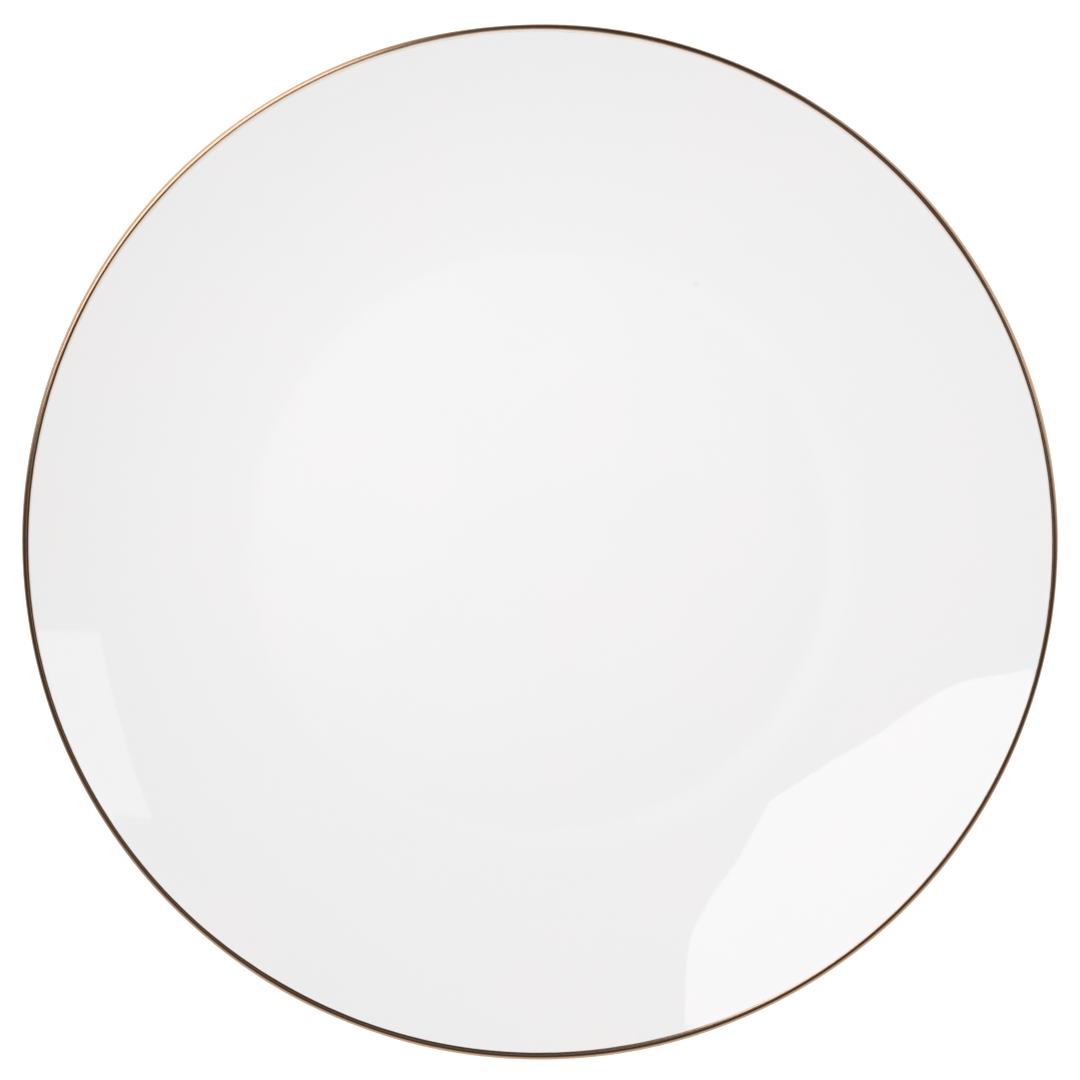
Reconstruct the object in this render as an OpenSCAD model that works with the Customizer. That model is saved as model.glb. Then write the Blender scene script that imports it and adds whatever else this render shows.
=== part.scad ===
// Rimless coupe dinner plate in glazed porcelain with a gilded lip.
// Millimetres. The table is z = 0 and the plate's axis is the Z axis.
// Every surface is turned about that axis, so each sub-part is one section
// in the half plane right of it, drawn with lines and true arcs.

/* [Plate] */
// Diameter over the gilded lip
plate_d = 270; // [255:1:290]
// Height from the table to the top of the lip
plate_h = 24; // [22:0.5:28]
// Thickness of the rounded lip, with its glaze
lip_t = 2.6; // [2.2:0.1:3.2]

/* [Well] */
// Diameter of the flat well
well_d = 150; // [140:1:154]
// Thickness of the well, with the glaze on both sides
well_t = 3.8; // [3:0.1:4.6]
// Radius of the soft verge where the well turns into the wall
verge_r = 40; // [30:5:60]
// Slope of the wall where it leaves the verge, in degrees
verge_slope = 4; // [3:0.5:5]

/* [Wall and foot ring] */
// Thickness of the wall over the foot ring, with the glaze on both sides
wall_t = 4.2; // [3.6:0.1:4.8]
// Diameter of the foot ring, through the middle of its bearing face
foot_d = 160; // [158:1:170]
// Height of the recess inside the foot ring
foot_h = 2.8; // [2.4:0.1:3.4]
// Width of the bare foot ring
foot_w = 2.6; // [2:0.1:3.4]
// Radius of the hollow on each side of the foot ring
hollow_r = 1.9; // [1.2:0.1:2.2]
// Radius on the two edges of the bearing face
foot_edge_r = 0.5; // [0.3:0.1:0.7]

/* [Glaze and gold] */
// Thickness of the glaze coat
glaze_t = 0.3; // [0.2:0.05:0.4]
// Height above the table where the glaze ends on the foot ring
glaze_end_z = 0.9; // [0.8:0.1:1.2]
// Thickness of the gold line
gold_t = 0.05; // [0.03:0.01:0.1]
// How far the gold laps down the face and the back below the rounded lip
gold_lap = 0.15; // [0.05:0.05:1]

/* [Hidden] */
$fn = 240;

well_r = well_d / 2;
foot_r = foot_d / 2;
lip_r = lip_t / 2;
well_z = foot_h + well_t;
// Longer than anything in the section, for half planes and open regions
reach = 2 * plate_d;

// The verge is an arc that starts level at the edge of the well
verge_c = [well_r, well_z + verge_r];
verge_end = verge_c + verge_r * [sin(verge_slope), -cos(verge_slope)];

// The lip is round, and the gold on it sets the plate's width and height
lip_c = [plate_d / 2 - gold_t - lip_r, plate_h - gold_t - lip_r];

// The wall's face is the arc that leaves the verge at its slope and runs
// smoothly into the round lip
up = [-sin(verge_slope), cos(verge_slope)];
span = lip_c - verge_end;
wall_r = (span * span - lip_r * lip_r) / (2 * (span * up + lip_r));
wall_c = verge_end + wall_r * up;

// Direction across the wall at the lip, and the slope of the wall there
across = (lip_c - wall_c) / norm(lip_c - wall_c);
lip_slope = atan2(across.x, -across.y);

// The back is the arc from the other side of the lip to the full thickness
// of the wall over the foot ring
back_point = [foot_r, wall_c.y - sqrt(wall_r ^ 2 - (foot_r - wall_c.x) ^ 2) - wall_t];
fall = back_point - lip_c;
back_r = (fall * fall - 2 * lip_r * (fall * across) + lip_r ^ 2) / (2 * (lip_r - fall * across));
back_c = lip_c - (back_r - lip_r) * across;

// Glazed sides of the foot ring, and the centres of the hollows beside it
foot_in = foot_r - foot_w / 2 - glaze_t;
foot_out = foot_r + foot_w / 2 + glaze_t;
hollow_in_c = [foot_in - hollow_r, foot_h - hollow_r];
hollow_out_x = foot_out + hollow_r;
hollow_out_c = [hollow_out_x, back_c.y - sqrt((back_r + hollow_r) ^ 2 - (hollow_out_x - back_c.x) ^ 2)];
hollow_slope = atan2(hollow_out_c.x - back_c.x, back_c.y - hollow_out_c.y);

// Everything outward of a point, past a line square to a wall of this slope
module beyond(point, slope) {
    translate(point) rotate(slope) translate([0, -reach]) square([reach, 2 * reach]);
}

// A filled arc, as the disc about its centre
module disc(centre, radius) {
    translate(centre) circle(radius);
}

// The open space over the well, the verge and the wall
module space_above(inset) {
    translate([0, well_z - inset]) square([well_r, reach]);
    difference() {
        intersection() {
            disc(verge_c, verge_r + inset);
            beyond(verge_c, 0);
        }
        beyond(verge_end, verge_slope);
    }
    intersection() {
        disc(wall_c, wall_r + inset);
        beyond(verge_end, verge_slope);
    }
}

// The open space under the well, inside the foot ring
module space_in_foot(inset) {
    square([hollow_in_c.x, foot_h + inset]);
    square([foot_in + inset, hollow_in_c.y]);
    disc(hollow_in_c, hollow_r + inset);
}

// The open space under the wall, outside the foot ring
module space_under_wall(inset) {
    translate([foot_out - inset, 0]) square([reach, hollow_out_c.y]);
    disc(hollow_out_c, hollow_r + inset);
    difference() {
        beyond(hollow_out_c, hollow_slope);
        disc(back_c, back_r - inset);
    }
}

// Section of the plate inside its glazed surface, taken in by inset all
// round. The full depth of the glaze gives the bare body.
module plate_section(inset) {
    difference() {
        square([plate_d / 2, plate_h]);
        space_above(inset);
        space_in_foot(inset);
        space_under_wall(inset);
        beyond(lip_c, lip_slope);
    }
    disc(lip_c, lip_r - inset);
}

// What comes off a square edge at the origin to round it
module edge_waste(radius) {
    difference() {
        square(radius);
        disc([radius, radius], radius);
    }
}

// Section of all the glaze that ends above the bare foot
module glaze_section() {
    difference() {
        plate_section(0);
        plate_section(glaze_t);
        square([reach, glaze_end_z]);
    }
}

// The part of the section under the well, inside the foot ring
module recess_side() {
    square([foot_r, foot_h + well_t / 2]);
}

module porcelain_body() {
    color("ivory") rotate_extrude() difference() {
        plate_section(glaze_t);
        translate([foot_r - foot_w / 2, 0]) edge_waste(foot_edge_r);
        translate([foot_r + foot_w / 2, 0]) mirror([1, 0]) edge_waste(foot_edge_r);
    }
}

module outer_glaze() {
    color("white") rotate_extrude() difference() {
        glaze_section();
        recess_side();
    }
}

module foot_recess_glaze() {
    color("whitesmoke") rotate_extrude() intersection() {
        glaze_section();
        recess_side();
    }
}

module gold_rim_line() {
    lap_start = lip_c - gold_lap * [cos(lip_slope), sin(lip_slope)];
    color("goldenrod") rotate_extrude() intersection() {
        difference() {
            plate_section(-gold_t);
            plate_section(0);
        }
        beyond(lap_start, lip_slope);
    }
}

porcelain_body();
outer_glaze();
foot_recess_glaze();
gold_rim_line();
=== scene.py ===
import math

import bmesh
import bpy
from mathutils import Matrix, Vector, noise


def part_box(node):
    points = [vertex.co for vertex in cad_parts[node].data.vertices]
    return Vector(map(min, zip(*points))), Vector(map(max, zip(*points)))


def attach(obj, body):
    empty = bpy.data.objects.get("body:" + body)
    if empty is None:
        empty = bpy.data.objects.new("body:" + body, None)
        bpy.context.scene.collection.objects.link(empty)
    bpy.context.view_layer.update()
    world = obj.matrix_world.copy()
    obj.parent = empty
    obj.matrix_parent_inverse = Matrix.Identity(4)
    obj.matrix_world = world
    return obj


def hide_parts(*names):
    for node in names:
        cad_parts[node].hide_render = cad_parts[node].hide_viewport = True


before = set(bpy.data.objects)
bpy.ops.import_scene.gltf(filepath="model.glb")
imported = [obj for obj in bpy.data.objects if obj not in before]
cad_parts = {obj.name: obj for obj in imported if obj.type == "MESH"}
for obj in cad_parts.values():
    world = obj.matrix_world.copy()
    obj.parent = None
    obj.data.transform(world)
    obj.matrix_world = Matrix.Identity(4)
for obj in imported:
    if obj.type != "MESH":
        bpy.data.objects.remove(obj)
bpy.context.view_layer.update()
mm = 0.001  # in metres
fullTurn = 2 * math.pi
turnSteps = 384  # facets round the plate, so that its edge reads as a true circle
midGrain = 0.5  # the middle of what a noise gives
print("frame loaded:", sorted(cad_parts))


class Signal:
    # one output socket that works in plain arithmetic, each operator adding a Math node
    def __init__(self, recipe, socket):
        self.recipe = recipe
        self.socket = socket

    def math(self, operation, *others):
        values = dict(enumerate((self, *others)))
        return self.recipe.add("ShaderNodeMath", {"operation": operation}, values)

    def flipped(self, operation, other):
        return self.recipe.add("ShaderNodeMath", {"operation": operation}, {0: other, 1: self})

    def __add__(self, other):
        return self.math("ADD", other)

    def __radd__(self, other):
        return self.flipped("ADD", other)

    def __sub__(self, other):
        return self.math("SUBTRACT", other)

    def __rsub__(self, other):
        return self.flipped("SUBTRACT", other)

    def __mul__(self, other):
        return self.math("MULTIPLY", other)

    def __rmul__(self, other):
        return self.flipped("MULTIPLY", other)

    def __truediv__(self, other):
        return self.math("DIVIDE", other)

    def __rtruediv__(self, other):
        return self.flipped("DIVIDE", other)

    def __pow__(self, other):
        return self.math("POWER", other)

    def __rpow__(self, other):
        return self.flipped("POWER", other)


class Recipe:
    # a node tree that is filled through one method
    def __init__(self, tree):
        self.tree = tree
        tree.nodes.clear()

    def add(self, kind, settings=None, sockets=None, out=0):
        node = self.tree.nodes.new(kind)
        for key, value in (settings or {}).items():
            setattr(node, key, value)
        for key, value in (sockets or {}).items():
            if isinstance(value, Signal):
                self.tree.links.new(value.socket, node.inputs[key])
            else:
                node.inputs[key].default_value = value
        return Signal(self, node.outputs[out]) if len(node.outputs) else None

    def place(self):
        return self.add("ShaderNodeTexCoord", out="Object")

    def split(self, vector):
        first = self.add("ShaderNodeSeparateXYZ", None, {"Vector": vector})
        return [Signal(self, socket) for socket in first.socket.node.outputs]

    def vectorMath(self, operation, one, two, out=0):
        return self.add("ShaderNodeVectorMath", {"operation": operation}, {0: one, 1: two}, out)

    def grain(self, vector, size, detail=2.0, roughness=0.5):
        # soft noise from 0 to 1, whose lumps are about size metres across
        return self.add("ShaderNodeTexNoise", {"noise_dimensions": "3D"},
                        {"Vector": vector, "Scale": 1 / size, "Detail": detail, "Roughness": roughness})

    def fade(self, value, low, high, newLow=0.0, newHigh=1.0):
        # goes smoothly from newLow to newHigh as the value goes from low to high
        return self.add("ShaderNodeMapRange", {"interpolation_type": "SMOOTHSTEP"},
                        {0: value, 1: low, 2: high, 3: newLow, 4: newHigh})

    def blend(self, mask, under, over):
        # inputs 6 and 7 and output 2 are the Mix node's colours
        under, over = (c if isinstance(c, Signal) else (*c, 1) for c in (under, over))
        return self.add("ShaderNodeMix", {"data_type": "RGBA"}, {0: mask, 6: under, 7: over}, out=2)

    def bump(self, height, depth):
        return self.add("ShaderNodeBump", None, {"Height": height, "Distance": depth, "Strength": 1.0})

    def surface(self, **sockets):
        names = {"colour": "Base Color", "ior": "IOR", "specular": "Specular IOR Level",
                 "glow": "Emission Color", "glowStrength": "Emission Strength"}
        named = {names.get(key, key.capitalize()): value for key, value in sockets.items()}
        shader = self.add("ShaderNodeBsdfPrincipled", None, named)
        self.add("ShaderNodeOutputMaterial", None, {"Surface": shader})


def newMaterial(name):
    material = bpy.data.materials.new(name)
    material.use_nodes = True
    return material, Recipe(material.node_tree)


# the plate's section, in the half plane right of its axis
plateShape = {
    "wellRadius": 75 * mm,
    "wellThickness": 3.8 * mm,
    "vergeRadius": 40 * mm,  # rounding where the well turns up into the wall
    "vergeSlope": math.radians(4),
    "lipThickness": 2.6 * mm,
    "wallThickness": 4.2 * mm,  # above the foot ring
    "footRadius": 80 * mm,
    "footWidth": 2.6 * mm,
    "footHeight": 2.8 * mm,
    "hollowRadius": 1.9 * mm,  # rounding between the foot ring and the plate
    "footEdgeRadius": 0.5 * mm,
    "glazeThickness": 0.3 * mm,
    "glazeEnd": 0.9 * mm,  # height at which the glaze stops on the foot ring
    "goldThickness": 0.05 * mm,
    "goldLap": 0.15 * mm,  # how far the gold goes on past the lip's roll on the back
}


def heading(angle):
    return Vector((math.cos(angle), math.sin(angle)))


def arcPoints(centre, radius, start, end, steps):
    return [centre + radius * heading(start + (end - start) * k / steps) for k in range(steps + 1)]


def linePoints(start, end, steps):
    return [start.lerp(end, k / steps) for k in range(steps + 1)]


def joinStretches(*stretches):
    # neighbours share an end point, which is kept once
    joined = list(stretches[0])
    for stretch in stretches[1:]:
        joined += stretch[1:]
    return joined


sectionSteps = {  # how many facets each stretch of the section gets on the visible side
    "well": 44,
    "verge": 6,
    "wall": 44,
    "lip": 24,
    "back": 36,
    "hollow": 10,
    "footSide": 2,
    "soleCorner": 6,
    "sole": 6,
    "recess": 40,
}


def stepCount(stretch, share=1.0):
    return max(2, round(sectionSteps[stretch] * share))


class PlateSection:
    # the true arcs that the plate is turned from, worked out from plateShape and the CAD's outer size
    def __init__(self, shape, outerRadius, height):
        self.shape = shape
        self.lipRadius = shape["lipThickness"] / 2
        self.wellTop = shape["footHeight"] + shape["wellThickness"]
        # the wall's arc leaves the verge smoothly and touches the lip's circle
        slope = shape["vergeSlope"]
        self.vergeCentre = Vector((shape["wellRadius"], self.wellTop + shape["vergeRadius"]))
        vergeEnd = self.vergeCentre + shape["vergeRadius"] * heading(slope - math.pi / 2)
        inset = shape["goldThickness"] + self.lipRadius
        self.lipCentre = Vector((outerRadius - inset, height - inset))
        up = heading(slope + math.pi / 2)
        span = self.lipCentre - vergeEnd
        self.wallRadius = (span.dot(span) - self.lipRadius ** 2) / (2 * (span.dot(up) + self.lipRadius))
        self.wallCentre = vergeEnd + self.wallRadius * up
        across = (self.lipCentre - self.wallCentre).normalized()
        self.lipSlope = math.atan2(across.x, -across.y)
        # the back's arc runs on from the lip's circle and passes below the wall at the foot ring
        reach = shape["footRadius"] - self.wallCentre.x
        backTop = self.wallCentre.y - math.sqrt(self.wallRadius ** 2 - reach ** 2)
        fall = Vector((shape["footRadius"], backTop - shape["wallThickness"])) - self.lipCentre
        lean = fall.dot(across)
        self.backRadius = (fall.dot(fall) - 2 * self.lipRadius * lean + self.lipRadius ** 2) / (
            2 * (self.lipRadius - lean))
        self.backCentre = self.lipCentre - (self.backRadius - self.lipRadius) * across
        # a small hollow on each side rounds the foot ring into the plate
        half = shape["footWidth"] / 2 + shape["glazeThickness"]
        self.footIn = shape["footRadius"] - half
        self.footOut = shape["footRadius"] + half
        hollow = shape["hollowRadius"]
        self.hollowInCentre = Vector((self.footIn - hollow, shape["footHeight"] - hollow))
        outX = self.footOut + hollow
        drop = math.sqrt((self.backRadius + hollow) ** 2 - (outX - self.backCentre.x) ** 2)
        self.hollowOutCentre = Vector((outX, self.backCentre.y - drop))
        away = self.hollowOutCentre - self.backCentre
        self.hollowSlope = math.atan2(away.x, -away.y)

    def face(self, inset, share=1.0):
        # from the axis over the well, the verge and the wall to the lip
        shape, down = self.shape, -math.pi / 2
        level = self.wellTop - inset
        return joinStretches(
            linePoints(Vector((0, level)), Vector((shape["wellRadius"], level)), stepCount("well", share)),
            arcPoints(self.vergeCentre, shape["vergeRadius"] + inset, down,
                      down + shape["vergeSlope"], stepCount("verge", share)),
            arcPoints(self.wallCentre, self.wallRadius + inset, down + shape["vergeSlope"],
                      down + self.lipSlope, stepCount("wall", share)),
        )

    def lip(self, inset, share=1.0):
        start = math.pi / 2 + self.lipSlope
        return arcPoints(self.lipCentre, self.lipRadius - inset, start, start - math.pi,
                         stepCount("lip", share))

    def back(self, inset, bottom, share=1.0):
        # from the lip down the back, round the hollow and down the foot ring to the height bottom
        down, side = -math.pi / 2, self.footOut - inset
        return joinStretches(
            arcPoints(self.backCentre, self.backRadius - inset, down + self.lipSlope,
                      down + self.hollowSlope, stepCount("back", share)),
            arcPoints(self.hollowOutCentre, self.shape["hollowRadius"] + inset,
                      math.pi / 2 + self.hollowSlope, math.pi, stepCount("hollow", share)),
            linePoints(Vector((side, self.hollowOutCentre.y)), Vector((side, bottom)),
                       stepCount("footSide")),
        )

    def recess(self, inset, bottom, share=1.0):
        # from the height bottom up the inside of the foot ring and in to the axis
        side, level = self.footIn + inset, self.shape["footHeight"] + inset
        inner = self.hollowInCentre
        return joinStretches(
            linePoints(Vector((side, bottom)), Vector((side, inner.y)), stepCount("footSide")),
            arcPoints(inner, self.shape["hollowRadius"] + inset, 0, math.pi / 2,
                      stepCount("hollow", share)),
            linePoints(Vector((inner.x, level)), Vector((0, level)), stepCount("recess", share)),
        )


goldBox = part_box("gold_rim_line")
section = PlateSection(plateShape, goldBox[1].x, goldBox[1].z)
print("section: wall radius %.1f mm, slope at the lip %.1f degrees"
      % (section.wallRadius / mm, math.degrees(section.lipSlope)))


glazeFlow = {
    "longSize": 30 * mm,  # lumps left by the turning and dipping
    "longDepth": 0.23 * mm,
    "shortSize": 12 * mm,
    "shortDepth": 0.018 * mm,
    "longShift": Vector((26.41, 28.19, 36.84)),
    "shortShift": Vector((9.4, 2.3, 5.6)),
}


def flowDepth(point):
    # how far the glaze lies below its nominal surface here, never above it
    flow = glazeFlow
    long = noise.noise(point / flow["longSize"] + flow["longShift"])
    short = noise.noise(point / flow["shortSize"] + flow["shortShift"])
    return flow["longDepth"] * (1 + long) / 2 + flow["shortDepth"] * (1 + short) / 2


def swing(point, angle):
    # a point of the section, turned about the plate's axis
    return Vector((point.x * math.cos(angle), point.x * math.sin(angle), point.y))


def sway(angle, lumps, lift=0.0):
    # smooth wavering from -1 to 1 that closes on itself after a full turn
    return noise.noise(Vector((math.cos(angle), math.sin(angle), lift)) * lumps)


def outwardNormals(points):
    # across the section, on the left of the direction that the points run in
    normals = []
    for k in range(len(points)):
        along = points[min(k + 1, len(points) - 1)] - points[max(k - 1, 0)]
        normals.append(Vector((-along.y, along.x)).normalized())
    return normals


def flowed(points, angle):
    # the section as the uneven glaze leaves it at this angle
    normals = outwardNormals(points)
    return [p - n * flowDepth(swing(p, angle)) for p, n in zip(points, normals)]


def turnedPiece(name, sectionAt, loop):
    # sectionAt gives the section at an angle: a loop, or a line that starts and ends on the axis
    build = bmesh.new()
    ends = []
    if not loop:
        first = sectionAt(0)
        ends = [build.verts.new((0, 0, first[0].y)), build.verts.new((0, 0, first[-1].y))]
    columns = []
    for k in range(turnSteps):
        angle = fullTurn * k / turnSteps
        points = sectionAt(angle)
        inner = points if loop else points[1:-1]
        columns.append([build.verts.new(swing(p, angle)) for p in inner])
    for k, column in enumerate(columns):
        following = columns[(k + 1) % turnSteps]
        last = len(column) if loop else len(column) - 1
        for row in range(last):
            after = (row + 1) % len(column)
            build.faces.new((column[row], column[after], following[after], following[row]))
        if ends:
            build.faces.new((ends[0], column[0], following[0]))
            build.faces.new((ends[1], following[-1], column[-1]))
    for facet in build.faces:
        facet.smooth = True
    return meshPiece(name, build)


def meshPiece(name, build):
    mesh = bpy.data.meshes.new(name)
    build.to_mesh(mesh)
    build.free()
    piece = bpy.data.objects.new(name, mesh)
    bpy.context.scene.collection.objects.link(piece)
    return piece


def settle(piece, node, material):
    piece.data.materials.append(material)
    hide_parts(node)
    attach(piece, "root")
    print("piece", piece.name, "faces", len(piece.data.polygons))


glazeLook = {
    "white": (0.837, 0.838, 0.845),
    "cool": (0.832, 0.838, 0.848),
    "warm": (0.841, 0.838, 0.833),
    "tintSize": 34 * mm,
    "tintDetail": 3,
    "tintFade": (0.35, 0.65),
    "tintShare": 0.5,  # how much of the plain white is mixed over the tints
    "iron": (0.20, 0.12, 0.10),  # colour of an iron speck under the glaze
    "speckPlace": (41.4 * mm, 68.1 * mm, 0),
    "speckRadius": 0.9 * mm,
    "speckCore": 1 / 3,  # the part of the radius that is at full strength
    "speckStrength": 0.09,
    "fineSpeckGap": 21 * mm,  # mean distance between the faint specks
    "fineSpeckRadius": 0.13 * mm,
    "fineSpeckCore": 0.5,
    "fineSpeckStrength": 0.25,
    "ior": 1.55,
    "roughness": 0.022,
    "roughnessSpread": 0.012,
    "polishSize": 18 * mm,
    "polishDetail": 4,
    "peelSize": 3.2 * mm,
    "peelDepth": 0.0007 * mm,
}


def glazeMaterial(name, look):
    material, mix = newMaterial(name)
    place = mix.place()
    height = mix.split(place)[2]
    tint = mix.fade(mix.grain(place, look["tintSize"], look["tintDetail"]), *look["tintFade"])
    colour = mix.blend(look["tintShare"], mix.blend(tint, look["cool"], look["warm"]), look["white"])
    # faint specks, each a soft dot in a cell of its own, and the one that shows on the face
    cell = mix.add("ShaderNodeTexVoronoi", {"feature": "F1", "voronoi_dimensions": "3D"},
                   {"Vector": place, "Scale": 1 / look["fineSpeckGap"]})
    dot = look["fineSpeckRadius"] / look["fineSpeckGap"]
    faint = mix.fade(cell, dot * look["fineSpeckCore"], dot, look["fineSpeckStrength"], 0.0)
    flat = mix.vectorMath("MULTIPLY", place, (1, 1, 0))
    away = mix.vectorMath("DISTANCE", flat, look["speckPlace"], out=1)
    onFace = mix.fade(height, plateShape["footHeight"], section.wellTop)
    radius = look["speckRadius"]
    single = mix.fade(away, radius * look["speckCore"], radius, look["speckStrength"], 0.0) * onFace
    colour = mix.blend(faint.math("MAXIMUM", single), colour, look["iron"])
    polish = mix.grain(place, look["polishSize"], look["polishDetail"])
    mix.surface(
        colour=colour,
        roughness=look["roughness"] + (polish - midGrain) * look["roughnessSpread"],
        ior=look["ior"],
        normal=mix.bump(mix.grain(place, look["peelSize"]), look["peelDepth"]),
    )
    return material


bareLook = {
    "clay": (0.72, 0.695, 0.655),
    "stain": (0.52, 0.49, 0.45),
    "stainSize": 9 * mm,
    "stainDetail": 4,
    "stainFade": (0.5, 0.75),
    "stainStrength": 0.6,
    "gritSize": 0.35 * mm,
    "gritDetail": 3,
    "gritHarshness": 0.7,
    "gritDepth": 0.02 * mm,
    "roughness": 0.72,
    "roughnessSpread": 0.2,
}


def bareMaterial(name, look):
    material, mix = newMaterial(name)
    place = mix.place()
    blotches = mix.grain(place, look["stainSize"], look["stainDetail"])
    stain = mix.fade(blotches, *look["stainFade"], 0, look["stainStrength"])
    grit = mix.grain(place, look["gritSize"], look["gritDetail"], look["gritHarshness"])
    mix.surface(
        colour=mix.blend(stain, look["clay"], look["stain"]),
        roughness=look["roughness"] + grit * look["roughnessSpread"],
        normal=mix.bump(grit, look["gritDepth"]),
    )
    return material


goldLook = {
    "full": (0.785, 0.54, 0.38),
    "worn": (0.64, 0.40, 0.28),
    "thinGoldAndHighlight": (0.80, 0.69, 0.58),  # gold too thin to hide the white glaze; where the thin edge is widened, this pale colour is painted highlight
    "wornSize": 2.2 * mm,
    "wornDetail": 3,
    "wornFade": (0.62, 0.72),
    "wornStrength": 0.35,
    "streakAcross": 5.0,  # brush streaks over the width of the line
    "streakLength": 30 * mm,
    "streakDetail": 3,
    "streakHarshness": 0.6,
    "streakBite": 0.25,  # how far the streaks eat into the thin edge
    "hidingFrom": 0.45,  # share of the full thickness at which the gold starts to hide the glaze
    "hidingFull": 0.95,
    "streakDepth": 0.003 * mm,
    "roughness": 0.13,
    "streakRoughness": 0.10,
}


def goldMaterial(name, look):
    material, mix = newMaterial(name)
    place = mix.place()
    band = mix.add("ShaderNodeAttribute", {"attribute_name": "bandPlace"}, out="Fac")
    cover = mix.add("ShaderNodeAttribute", {"attribute_name": "goldCover"}, out="Fac")
    x, y = mix.split(place)[:2]
    streakPlace = mix.add("ShaderNodeCombineXYZ", None, {
        0: band * look["streakAcross"],
        1: x / look["streakLength"],
        2: y / look["streakLength"],
    })
    streaks = mix.grain(streakPlace, 1.0, look["streakDetail"], look["streakHarshness"])
    rubbed = mix.grain(place, look["wornSize"], look["wornDetail"])
    wear = mix.fade(rubbed, *look["wornFade"], 0, look["wornStrength"])
    colour = mix.blend(wear, look["full"], look["worn"])
    bitten = cover + (streaks - midGrain) * look["streakBite"]
    hiding = mix.fade(bitten, look["hidingFrom"], look["hidingFull"])
    # the thin edge's colour, from the white glaze to pale gold; where the edge is widened this is painted
    # highlight
    highlightAndThinGoldColour = mix.blend(mix.fade(cover, 0, look["hidingFrom"]), glazeLook["white"], look["thinGoldAndHighlight"])
    mix.surface(
        colour=mix.blend(hiding, highlightAndThinGoldColour, colour),
        metallic=hiding,
        roughness=look["roughness"] + streaks * look["streakRoughness"],
        normal=mix.bump(streaks, look["streakDepth"]),
    )
    return material


def halfRound(outer, inner, steps):
    # the rolled end of the glaze, from its outer side round to its inner side
    middle = (outer + inner) / 2
    arm = outer - middle
    turned = Vector((arm.y, -arm.x)) if arm.x > 0 else Vector((-arm.y, arm.x))
    return [middle + arm * math.cos(math.pi * k / steps) + turned * math.sin(math.pi * k / steps)
            for k in range(1, steps)]


glazeEdge = {
    "waver": 0.10 * mm,  # how far the glaze's lower edge wanders up and down the foot ring
    "lumps": 4.0,
    "rollSteps": 8,
    "hiddenShare": 0.4,  # the side against the body needs fewer points
    "recessShift": 2.5,  # makes the inner edge wander another way than the outer one
}


def glazeBottom(angle, lift):
    rest = plateShape["glazeEnd"] + plateShape["glazeThickness"] / 2
    return rest + glazeEdge["waver"] * sway(angle, glazeEdge["lumps"], lift)


def makeOuterGlaze():
    coat, few = plateShape["glazeThickness"], glazeEdge["hiddenShare"]

    def sectionAt(angle):
        bottom = glazeBottom(angle, 0.0)
        outside = joinStretches(section.face(0), section.lip(0), section.back(0, bottom))
        inside = joinStretches(section.face(coat, few), section.lip(coat, few),
                               section.back(coat, bottom, few))
        shown = flowed(outside, angle)
        return shown + halfRound(shown[-1], inside[-1], glazeEdge["rollSteps"]) + inside[::-1]

    return turnedPiece("outer_glaze_coat", sectionAt, False)


def makeRecessGlaze():
    coat, few = plateShape["glazeThickness"], glazeEdge["hiddenShare"]

    def sectionAt(angle):
        bottom = glazeBottom(angle, glazeEdge["recessShift"])
        inside = section.recess(coat, bottom, few)
        shown = flowed(section.recess(0, bottom), angle)
        end = halfRound(shown[0], inside[0], glazeEdge["rollSteps"])
        return inside[::-1] + end[::-1] + shown

    return turnedPiece("recess_glaze_coat", sectionAt, False)


bodyShare = 0.5  # the glaze hides all of the body but its sole, so it needs fewer points


def makeBody():
    shape, share = plateShape, bodyShare
    coat, edge = shape["glazeThickness"], shape["footEdgeRadius"]
    outX = shape["footRadius"] + shape["footWidth"] / 2
    inX = shape["footRadius"] - shape["footWidth"] / 2
    quarter = math.pi / 2
    corner = stepCount("soleCorner")
    sole = joinStretches(
        arcPoints(Vector((outX - edge, edge)), edge, 0, -quarter, corner),
        linePoints(Vector((outX - edge, 0)), Vector((inX + edge, 0)), stepCount("sole")),
        arcPoints(Vector((inX + edge, edge)), edge, -quarter, -math.pi, corner),
    )
    whole = joinStretches(section.face(coat, share), section.lip(coat, share),
                          section.back(coat, edge, share), sole, section.recess(coat, edge, share))
    return turnedPiece("fired_body", lambda angle: whole, False)


goldLine = {
    "rows": 28,  # facets across the line
    "start": 0.27 * mm,  # from the face side of the lip's roll to where the gold is full
    "wander": ((1, 0.25 * mm, 14), (3, 0.21 * mm, 180)),  # waves round the plate, swing, phase in degrees
    "waver": 0.16 * mm,  # slow wavering of the edge on the face
    "waverLumps": 2.5,
    "ripple": 0.05 * mm,  # trembling of the brush
    "rippleLumps": 40,
    "thinLeast": 0.10 * mm,  # width of the thin, pale edge; made wider on one side as painted highlight
    "thinMostWithHighlight": 1.15 * mm,
    "thinPower": 1.5,
    "paintedHighlightHeading": math.radians(135),  # where more of the line is left thin and pale as a painted highlight of the key softbox
    "paintedHighlightPower": 10,  # the larger, the shorter that stretch
    # how much the painted highlight widens the thin edge there
    "lift": 0.32 * mm,
    "backWaver": 0.35 * mm,  # wavering of the edge on the back
    "backLumps": 3.5,
    "backShift": 1.7,
    "backDrop": 0.3,  # share of that wavering by which the edge keeps nearer to the lip
    "crownPower": 6,  # the larger, the squarer the band's own section
    "feather": 0.004 * mm,
}


def alongLip(distance):
    # a point on the glazed surface and its outward normal, by distance round the lip from its face side
    slope, quarter = section.lipSlope, math.pi / 2
    lipLength = math.pi * section.lipRadius
    if distance < 0:
        ray = heading(slope - quarter + distance / section.wallRadius)
        return section.wallCentre + section.wallRadius * ray, -ray
    if distance > lipLength:
        ray = heading(slope - quarter - (distance - lipLength) / section.backRadius)
        return section.backCentre + section.backRadius * ray, ray
    ray = heading(quarter + slope - distance / section.lipRadius)
    return section.lipCentre + section.lipRadius * ray, ray


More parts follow.
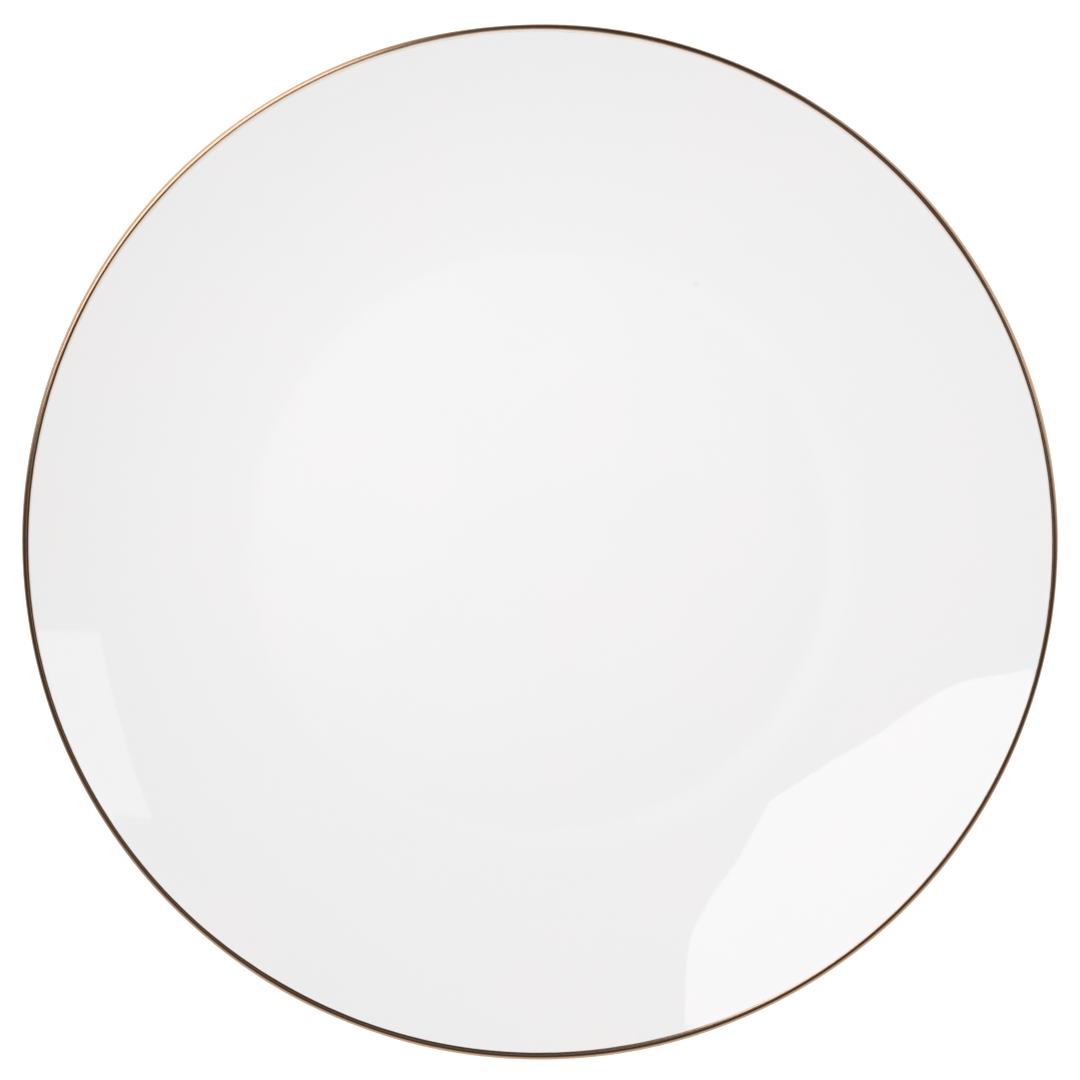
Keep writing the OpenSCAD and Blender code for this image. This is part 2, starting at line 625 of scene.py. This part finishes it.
def makeGoldLine():
    line, rows = goldLine, goldLine["rows"]
    parts = [k / rows for k in range(rows + 1)]
    covers = []

    def sectionAt(angle):
        full = line["start"]
        for waves, reach, phase in line["wander"]:
            full += reach * math.sin(waves * angle + math.radians(phase))
        full += line["waver"] * sway(angle, line["waverLumps"])
        full += line["ripple"] * sway(angle, line["rippleLumps"])
        # painted highlight: the thin, pale edge is widened towards +Y and further round the upper left,
        # where the key softbox would show in the gold
        lift = line["lift"] * max(0, math.cos(angle - line["paintedHighlightHeading"])) ** line["paintedHighlightPower"]
        side = ((1 + math.sin(angle)) / 2) ** line["thinPower"]
        thinGoldAndHighlight = line["thinLeast"] + (line["thinMostWithHighlight"] - line["thinLeast"]) * side + lift
        end = math.pi * section.lipRadius + plateShape["goldLap"]
        end += line["backWaver"] * (sway(angle, line["backLumps"], line["backShift"]) - line["backDrop"])
        start = full + lift - thinGoldAndHighlight
        outer, inner = [], []
        for part in parts:
            reach = start + (end - start) * part
            point, normal = alongLip(reach)
            sunk = point - normal * flowDepth(swing(point, angle))
            crown = 1 - (2 * part - 1) ** line["crownPower"]
            rise = plateShape["goldThickness"] * crown + line["feather"]
            outer.append(sunk + normal * rise)
            inner.append(sunk)
            covers.append(min(1, (reach - start) / thinGoldAndHighlight, (end - reach) / line["thinLeast"]))
        # the underside has the same cover, in the loop's order back to its start
        covers.extend(covers[-1:-rows - 2:-1])
        return outer + inner[::-1]

    piece = turnedPiece("gold_line", sectionAt, True)
    # how far across the line each point lies, and how thick the gold is there; its thin share is partly
    # painted highlight
    bandPlace = piece.data.attributes.new("bandPlace", "FLOAT", "POINT")
    bandPlace.data.foreach_set("value", (parts + parts[::-1]) * turnSteps)
    goldCover = piece.data.attributes.new("goldCover", "FLOAT", "POINT")
    goldCover.data.foreach_set("value", covers)
    return piece


recessLook = dict(glazeLook, speckPlace=(-22 * mm, 31 * mm, 0))
whiteGlaze = glazeMaterial("white_glaze", glazeLook)
recessGlaze = glazeMaterial("recess_white_glaze", recessLook)
settle(makeOuterGlaze(), "outer_glaze", whiteGlaze)
settle(makeRecessGlaze(), "foot_recess_glaze", recessGlaze)
settle(makeBody(), "porcelain_body", bareMaterial("bare_porcelain", bareLook))
settle(makeGoldLine(), "gold_rim_line", goldMaterial("fired_gold", goldLook))


coveShape = {
    "floorRadius": 6.0,
    "bend": 0.4,
    "wallHeight": 1.3,
    "turns": 96,
    "floorRings": 12,
    "bendSteps": 12,
    "wallSteps": 4,
    "floorColour": (0.97, 0.97, 0.97),
    "floorGlow": (0.27, 0.27, 0.27),
    "wallColour": (0.0, 0.0, 0.0),  # the wall only glows and reflects nothing
    "wallGlow": (1.02, 1.02, 1.02),
}


def makeSheet(name, outline, closed):
    # the outline turned about the axis, from its middle outwards or as an open band
    turns = coveShape["turns"]
    build = bmesh.new()
    rest = outline[1:] if closed else outline
    columns = [[build.verts.new(swing(p, fullTurn * k / turns)) for p in rest] for k in range(turns)]
    hub = build.verts.new(swing(outline[0], 0)) if closed else None
    for k, column in enumerate(columns):
        following = columns[(k + 1) % turns]
        if closed:
            build.faces.new((hub, column[0], following[0]))
        for row in range(len(column) - 1):
            build.faces.new((column[row], column[row + 1], following[row + 1], following[row]))
    for facet in build.faces:
        facet.smooth = True
    sheet = meshPiece(name, build)
    material, mix = newMaterial(name)
    up = mix.fade(mix.split(mix.place())[2], 0, coveShape["bend"])
    mix.surface(
        colour=mix.blend(up, coveShape["floorColour"], coveShape["wallColour"]),
        roughness=1.0,
        specular=0.0,
        glow=mix.blend(up, coveShape["floorGlow"], coveShape["wallGlow"]),
        glowStrength=1.0,
    )
    sheet.data.materials.append(material)
    sheet.visible_glossy = False
    return sheet


def makeCove():
    # a flat pale floor, and far from the plate a wall that it bends up into all round; the gloss
    # sees neither of them, and the wall's glow doesn't light the plate
    cove = coveShape
    reach, bend = cove["floorRadius"], cove["bend"]
    bendCentre = Vector((reach, bend))
    makeSheet("pale_floor", linePoints(Vector((0, 0)), Vector((reach, 0)), cove["floorRings"]), True)
    wall = makeSheet("pale_wall", joinStretches(
        arcPoints(bendCentre, bend, -math.pi / 2, 0, cove["bendSteps"]),
        linePoints(bendCentre + Vector((bend, 0)), Vector((reach + bend, cove["wallHeight"])),
                   cove["wallSteps"]),
    ), False)
    wall.visible_diffuse = False


softboxes = {
    "key_softbox": {  # behind the plate on the left, seen in the glaze in front on the right
        "corner": (-0.127, 0.172, 1.003),
        "alongX": (-0.213, 0.933, 0.29),
        "alongY": (-0.779, 0.017, -0.626),
        "width": 1.75,
        "height": 0.72,
        "brightness": 1.65,
        "colour": (1.0, 0.985, 0.995),
    },
    "side_softbox": {  # on the right of the plate, seen in the glaze on the left
        "corner": (0.686, 0.181, 1.04),
        "alongX": (0.552, 0.039, -0.833),
        "alongY": (0.329, 0.908, 0.261),
        "width": 0.36,
        "height": 0.52,
        "brightness": 1.0,
        "colour": (0.96, 0.98, 1.0),
    },
}

skyFill = {
    "strength": 2.48,  # wide soft light from straight above
    "angle": math.radians(162),
}


def addSoftbox(name, box):
    # a rectangle given by one corner and the directions of its two sides
    light = bpy.data.lights.new(name, "AREA")
    light.shape = "RECTANGLE"
    light.size, light.size_y = box["width"], box["height"]
    # the brightness is what the glaze mirrors, whatever the size
    light.energy = box["brightness"] * math.pi * box["width"] * box["height"]
    light.color = box["colour"]
    lamp = bpy.data.objects.new(name, light)
    sideX, sideY = Vector(box["alongX"]).normalized(), Vector(box["alongY"])
    sideY = (sideY - sideX * sideY.dot(sideX)).normalized()
    facing = sideX.cross(sideY)
    middle = Vector(box["corner"]) + sideX * box["width"] / 2 + sideY * box["height"] / 2
    rows = [(sideX[k], sideY[k], facing[k], middle[k]) for k in range(3)]
    lamp.matrix_world = Matrix((*rows, (0, 0, 0, 1)))
    lamp.visible_camera = False
    bpy.context.scene.collection.objects.link(lamp)


def makeLights():
    for name, box in softboxes.items():
        addSoftbox(name, box)
    # lights the white from above and doesn't show in the gloss
    sky = bpy.data.lights.new("sky_fill", "SUN")
    sky.energy, sky.angle = skyFill["strength"], skyFill["angle"]
    lamp = bpy.data.objects.new("sky_fill", sky)
    lamp.visible_glossy = False
    bpy.context.scene.collection.objects.link(lamp)


roomLight = {  # the dim room that shows in the gloss, with a few pale spots low down
    "dim": (0.056, 0.048, 0.046),
    "pale": (1.0, 0.97, 0.94),
    "tableTop": 12.0,  # degrees above the horizon where the pale table round the plate starts
    "tableFull": -30.0,
    "table": 0.90,  # how pale it is, from 0 to 1
    "spotCore": 1 / 3,  # the part of a spot's half width that is at its palest
    "leastSpread": 0.001,  # keeps the division by the spread clear of zero straight above
    "spotFull": 10.0,  # height in degrees up to which the pale spots are at their palest
    "spots": (  # heading, half width and greatest height in degrees, and how pale
        (135, 42, 40, 1.0),
        (-88, 80, 54, 0.68),
        (30, 34, 54, 0.90),
    ),
    "overhead": {"direction": 135, "lean": 5.0, "half": 9.0, "pale": 0.5},  # soft patch near the zenith
}


def makeRoom():
    world = bpy.data.worlds.new("room")
    bpy.context.scene.world = world
    world.use_nodes = True
    mix = Recipe(world.node_tree)
    place = mix.add("ShaderNodeTexCoord", out="Generated")
    height = mix.split(place)[2]
    room = roomLight
    level = {key: math.sin(math.radians(room[key])) for key in ("spotFull", "tableTop", "tableFull")}
    spread = (1 - height * height).math("MAXIMUM", room["leastSpread"]) ** 0.5
    # each spot fades with the height and on both sides of its heading
    glow = 0.0
    for direction, half, top, brightness in room["spots"]:
        low = mix.fade(height, level["spotFull"], math.sin(math.radians(top)), brightness, 0.0)
        toward = (*heading(math.radians(direction)), 0)
        nearness = mix.vectorMath("DOT_PRODUCT", place, toward, out=1) / spread
        edge, core = (math.cos(math.radians(half * share)) for share in (1, room["spotCore"]))
        spot = mix.fade(nearness, edge, core)
        glow = spot * low + glow
    table = mix.fade(height, level["tableFull"], level["tableTop"], room["table"], 0.0)
    patch = room["overhead"]
    lean = math.radians(patch["lean"])
    toward = (*(math.sin(lean) * heading(math.radians(patch["direction"]))), math.cos(lean))
    nearness = mix.vectorMath("DOT_PRODUCT", place, toward, out=1).math("MINIMUM", 1.0)
    aside = nearness.math("ARCCOSINE")
    above = mix.fade(aside, 0, math.radians(patch["half"]), patch["pale"], 0.0)
    glow = glow.math("MAXIMUM", table) + above
    colour = mix.blend(glow, room["dim"], room["pale"])
    shader = mix.add("ShaderNodeBackground", None, {"Color": colour, "Strength": 1.0})
    mix.add("ShaderNodeOutputWorld", None, {"Surface": shader})


cameraPlan = {
    "lens": 135.0,
    "sensor": 36.0,
    "elevation": math.radians(88.5),
    "plateShare": 0.9616,  # the plate's diameter as a share of the picture's width
    "nearest": 0.01,
    "farthest": 30.0,
}


def makeCamera():
    plan = cameraPlan
    data = bpy.data.cameras.new("camera")
    data.lens, data.sensor_width = plan["lens"], plan["sensor"]
    data.sensor_fit = "HORIZONTAL"
    halfView = plan["sensor"] / 2 / plan["lens"]
    distance = goldBox[1].x / (halfView * plan["plateShare"])
    back = Vector((0, -math.cos(plan["elevation"]), math.sin(plan["elevation"])))
    camera = bpy.data.objects.new("camera", data)
    camera.location = Vector((0, 0, goldBox[1].z)) + back * distance
    camera.rotation_mode = "QUATERNION"
    camera.rotation_quaternion = (-back).to_track_quat("-Z", "Y")
    data.clip_start, data.clip_end = plan["nearest"], plan["farthest"]
    bpy.context.scene.collection.objects.link(camera)
    bpy.context.scene.camera = camera


makeCove()
makeLights()
makeRoom()
makeCamera()
bpy.context.scene.view_settings.view_transform = "Standard"
print("studio made")
